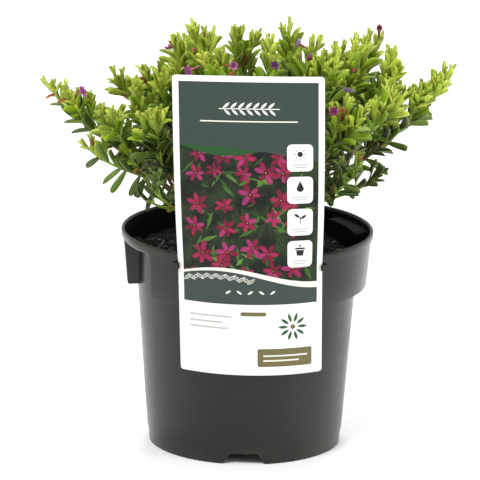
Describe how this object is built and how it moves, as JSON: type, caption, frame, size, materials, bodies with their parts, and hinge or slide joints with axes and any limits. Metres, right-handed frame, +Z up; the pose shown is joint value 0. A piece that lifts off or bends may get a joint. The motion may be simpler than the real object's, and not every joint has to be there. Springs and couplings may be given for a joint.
{
  "type": "potted false heather",
  "caption": "Small bushy plant with narrow paired leaves and magenta blooms, rooted in bark soil in a round nursery pot, with a plain picture card hooked to the rim.",
  "frame": {"origin": "middle of the object's footprint on the ground, within two millimetres of the centre of the pot's foot ring", "axes": "+Z up along the pot's axis; -Y is the front, where the picture card stands; +X to the right seen from the front"},
  "size_m": [0.2329, 0.1651, 0.2399],
  "materials": {
    "pot_plastic": "moulded satin plastic",
    "potting_soil": "damp composted bark, loose and rough",
    "printed_card": "satin printed plastic card",
    "bark": "thin rough bark",
    "foliage": "waxy green leaves on slim stems",
    "petals_magenta": "soft crinkled petals",
    "petals_pink": "soft crinkled petals",
    "petals_purple": "soft crinkled petals",
    "petals_lilac": "soft crinkled petals",
    "petals_red": "soft crinkled petals"
  },
  "bodies": {
    "root": {"pot": "pot_plastic", "soil": "potting_soil", "picture_card": "printed_card", "woody_crown": "bark", "leafy_shoot_01": "foliage", "leafy_shoot_02": "foliage", "leafy_shoot_03": "foliage", "leafy_shoot_04": "foliage", "leafy_shoot_05": "foliage", "leafy_shoot_06": "foliage", "leafy_shoot_07": "foliage", "leafy_shoot_08": "foliage", "leafy_shoot_09": "foliage", "leafy_shoot_10": "foliage", "leafy_shoot_11": "foliage", "leafy_shoot_12": "foliage", "leafy_shoot_13": "foliage", "leafy_shoot_14": "foliage", "leafy_shoot_15": "foliage", "leafy_shoot_16": "foliage", "leafy_shoot_17": "foliage", "leafy_shoot_18": "foliage", "leafy_shoot_19": "foliage", "leafy_shoot_20": "foliage", "leafy_shoot_21": "foliage", "leafy_shoot_22": "foliage", "leafy_shoot_23": "foliage", "leafy_shoot_24": "foliage", "leafy_shoot_25": "foliage", "leafy_shoot_26": "foliage", "leafy_shoot_27": "foliage", "leafy_shoot_28": "foliage", "leafy_shoot_29": "foliage", "leafy_shoot_30": "foliage", "leafy_shoot_31": "foliage", "leafy_shoot_32": "foliage", "leafy_shoot_33": "foliage", "leafy_shoot_34": "foliage", "leafy_shoot_35": "foliage", "leafy_shoot_36": "foliage", "leafy_shoot_37": "foliage", "leafy_shoot_38": "foliage", "leafy_shoot_39": "foliage", "leafy_shoot_40": "foliage", "leafy_shoot_41": "foliage", "leafy_shoot_42": "foliage", "bloom_far_left": "petals_magenta", "bloom_card_edge": "petals_magenta", "bloom_front_pink": "petals_pink", "bloom_dark_bud": "petals_purple", "bloom_front_purple": "petals_purple", "bloom_lilac": "petals_lilac", "bloom_top_red": "petals_red", "bloom_right_magenta": "petals_magenta", "bloom_right_grey": "petals_lilac", "bloom_red_bud": "petals_red", "bloom_back_left": "petals_magenta", "bloom_back_top": "petals_magenta", "bloom_back_right": "petals_magenta"}
  },
  "joints": []
}
